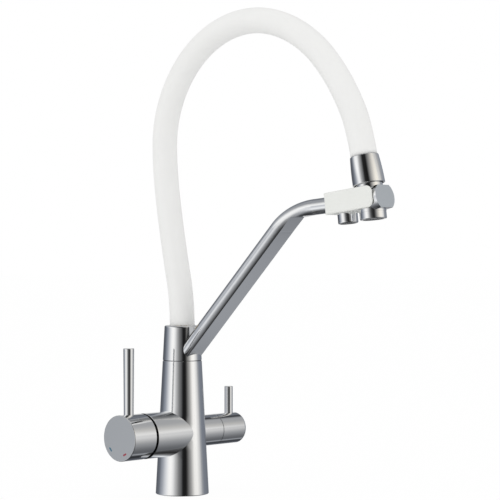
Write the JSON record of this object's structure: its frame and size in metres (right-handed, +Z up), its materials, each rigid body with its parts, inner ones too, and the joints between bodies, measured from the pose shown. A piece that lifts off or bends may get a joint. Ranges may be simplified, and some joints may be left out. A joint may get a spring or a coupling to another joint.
{
  "type": "kitchen tap",
  "caption": "Tapered column kitchen tap with a mixer lever, a filtered water lever, a swivel spout arm and a pull-off head on an arched hose.",
  "frame": {"origin": "centre of the base on the worktop", "axes": "+Z up along the column, -Y towards the spout at rest, -X towards the mixer valve, +X towards the filter valve"},
  "size_m": [0.1538, 0.2807, 0.4476],
  "materials": {
    "chrome": "polished chrome plating",
    "brass": "machined",
    "stainless": "satin",
    "black_rubber": "moulded",
    "grey_plastic": "moulded",
    "black_plastic": "moulded",
    "white_plastic": "satin moulded",
    "white_silicone": "matt silicone",
    "ceramic_white": "lapped ceramic",
    "cold_blue": "enamel",
    "hot_red": "enamel"
  },
  "bodies": {
    "root": {"column_body": "chrome", "base_gasket": "black_rubber", "water_core": "brass", "swivel_post": "brass", "post_rings": "black_rubber", "collar_clip": "stainless", "glide_washer": "black_plastic", "cartridge_body": "grey_plastic", "cartridge_seals": "black_rubber", "cartridge_nut": "brass", "trim_ring": "black_plastic", "filter_headpart": "brass", "fixed_disc": "ceramic_white"},
    "mixer_carrier": {"cartridge_carrier": "grey_plastic", "pivot_pin": "stainless"},
    "mixer_handle": {"lever_stem": "stainless", "mixer_cap": "chrome", "mixer_lever": "chrome", "mixer_grub_screw": "stainless", "cold_mark": "cold_blue", "hot_mark": "hot_red"},
    "filter_handle": {"turning_disc": "ceramic_white", "filter_spindle": "brass", "filter_cap": "chrome", "filter_lever": "chrome", "filter_grub_screw": "stainless"},
    "spout": {"swivel_collar": "chrome", "hose_nipple": "brass", "spout_arm": "chrome", "holder_block": "white_plastic", "filter_outlet": "chrome", "filter_screen": "grey_plastic", "silicone_hose": "white_silicone", "hose_liner": "grey_plastic"},
    "head": {"head_body": "chrome", "boss_cap": "chrome", "main_outlet": "chrome", "main_screen": "grey_plastic", "hose_sleeve": "chrome", "hose_ferrule": "stainless"}
  },
  "joints": [
    {"name": "spout_swivel", "type": "hinge", "parent": "root", "child": "spout", "pos_m": [0, 0, 0.125], "axis": [0, 0, 1], "continuous": true},
    {"name": "mixer_temperature", "type": "hinge", "parent": "root", "child": "mixer_carrier", "pos_m": [-0.05, 0, 0.057], "axis": [1, 0, 0], "range_deg": [-45, 45]},
    {"name": "mixer_flow", "type": "hinge", "parent": "mixer_carrier", "child": "mixer_handle", "pos_m": [-0.056, 0, 0.057], "axis": [0, -1, 0], "range_deg": [0, 14]},
    {"name": "filter_turn", "type": "hinge", "parent": "root", "child": "filter_handle", "pos_m": [0.05, 0, 0.057], "axis": [1, 0, 0], "range_deg": [0, 90]},
    {"name": "head_release", "type": "slide", "parent": "spout", "child": "head", "axis": [0, -0.9763, 0.2164], "range_m": [0, 0.04]}
  ]
}
